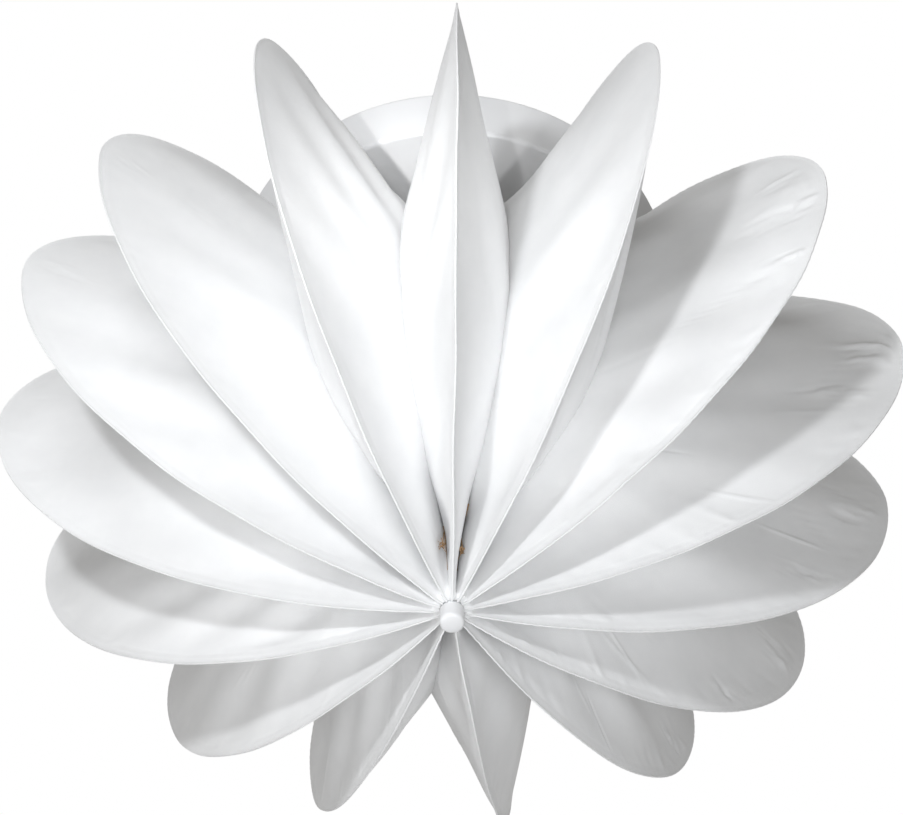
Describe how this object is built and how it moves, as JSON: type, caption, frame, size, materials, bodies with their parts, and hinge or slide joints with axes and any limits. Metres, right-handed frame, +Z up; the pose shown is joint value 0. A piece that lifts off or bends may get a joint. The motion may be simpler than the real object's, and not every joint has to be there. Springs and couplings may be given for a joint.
{
  "type": "ceiling lantern",
  "caption": "Flush round ceiling lantern: white pleated cloth fins over bowed wire ribs, held by a small finial on a rod under a white pan, with bulbs inside.",
  "frame": {"origin": "middle of the mounting bar's top face, where it meets the ceiling", "axes": "+Z up into the ceiling, -Y towards the first fin, -X to the left when seen from there"},
  "size_m": [0.5944, 0.5967, 0.3983],
  "materials": {
    "shade_fabric": "matt white spun-bonded cloth",
    "shade_steel": "white coated wire",
    "zinc_steel": "zinc plated",
    "white_enamel": "satin white enamel",
    "porcelain": "glazed white porcelain",
    "brass": "bright",
    "opal_glass": "opal",
    "lead_sleeve": "satin",
    "twine": "hairy brown twine"
  },
  "bodies": {
    "fixture": {"ceiling_pan": "white_enamel", "mounting_bar": "zinc_steel", "pan_screw_1": "white_enamel", "pan_screw_2": "white_enamel", "threaded_rod": "zinc_steel", "weld_nut": "zinc_steel", "pan_nut": "zinc_steel", "terminal_block": "porcelain", "lampholder_1": "porcelain", "lampholder_2": "porcelain", "lampholder_3": "porcelain", "lamp_lead_1": "lead_sleeve", "lamp_lead_2": "lead_sleeve", "lamp_lead_3": "lead_sleeve"},
    "washer": {"shade_washer": "zinc_steel"},
    "finial": {"finial": "white_enamel"},
    "shade": {"lower_hub": "shade_steel", "top_ring": "shade_steel", "rib_01": "shade_steel", "fin_01": "shade_fabric", "rib_02": "shade_steel", "fin_02": "shade_fabric", "rib_03": "shade_steel", "fin_03": "shade_fabric", "rib_04": "shade_steel", "fin_04": "shade_fabric", "rib_05": "shade_steel", "fin_05": "shade_fabric", "rib_06": "shade_steel", "fin_06": "shade_fabric", "rib_07": "shade_steel", "fin_07": "shade_fabric", "rib_08": "shade_steel", "fin_08": "shade_fabric", "rib_09": "shade_steel", "fin_09": "shade_fabric", "rib_10": "shade_steel", "fin_10": "shade_fabric", "rib_11": "shade_steel", "fin_11": "shade_fabric", "rib_12": "shade_steel", "fin_12": "shade_fabric", "rib_13": "shade_steel", "fin_13": "shade_fabric", "rib_14": "shade_steel", "fin_14": "shade_fabric", "rib_15": "shade_steel", "fin_15": "shade_fabric", "twine_tie_left": "twine", "twine_tie_right": "twine"},
    "bulb_1": {"bulb_cap_1": "brass", "bulb_glass_1": "opal_glass"},
    "bulb_2": {"bulb_cap_2": "brass", "bulb_glass_2": "opal_glass"},
    "bulb_3": {"bulb_cap_3": "brass", "bulb_glass_3": "opal_glass"}
  },
  "joints": [
    {"name": "shade_lower", "type": "slide", "parent": "fixture", "child": "washer", "axis": [0, 0, -1], "range_m": [0, 0.006]},
    {"name": "finial_turn", "type": "hinge", "parent": "washer", "child": "finial", "pos_m": [0, 0, -0.388], "axis": [0, 0, -1], "range_deg": [0, 1729]},
    {"name": "shade_turn", "type": "hinge", "parent": "washer", "child": "shade", "pos_m": [0, 0, -0.377], "axis": [0, 0, 1], "continuous": true},
    {"name": "bulb_turn_1", "type": "hinge", "parent": "fixture", "child": "bulb_1", "pos_m": [-0.04172, -0.04029, -0.063], "axis": [0, 0, -1], "range_deg": [0, 900]},
    {"name": "bulb_turn_2", "type": "hinge", "parent": "fixture", "child": "bulb_2", "pos_m": [-0.01403, 0.05628, -0.063], "axis": [0, 0, -1], "range_deg": [0, 900]},
    {"name": "bulb_turn_3", "type": "hinge", "parent": "fixture", "child": "bulb_3", "pos_m": [0.05575, -0.01599, -0.063], "axis": [0, 0, -1], "range_deg": [0, 900]}
  ],
  "couplings": [
    {"joint": "finial_turn", "follows": "shade_lower", "rad_per_m": 5026.5}
  ]
}
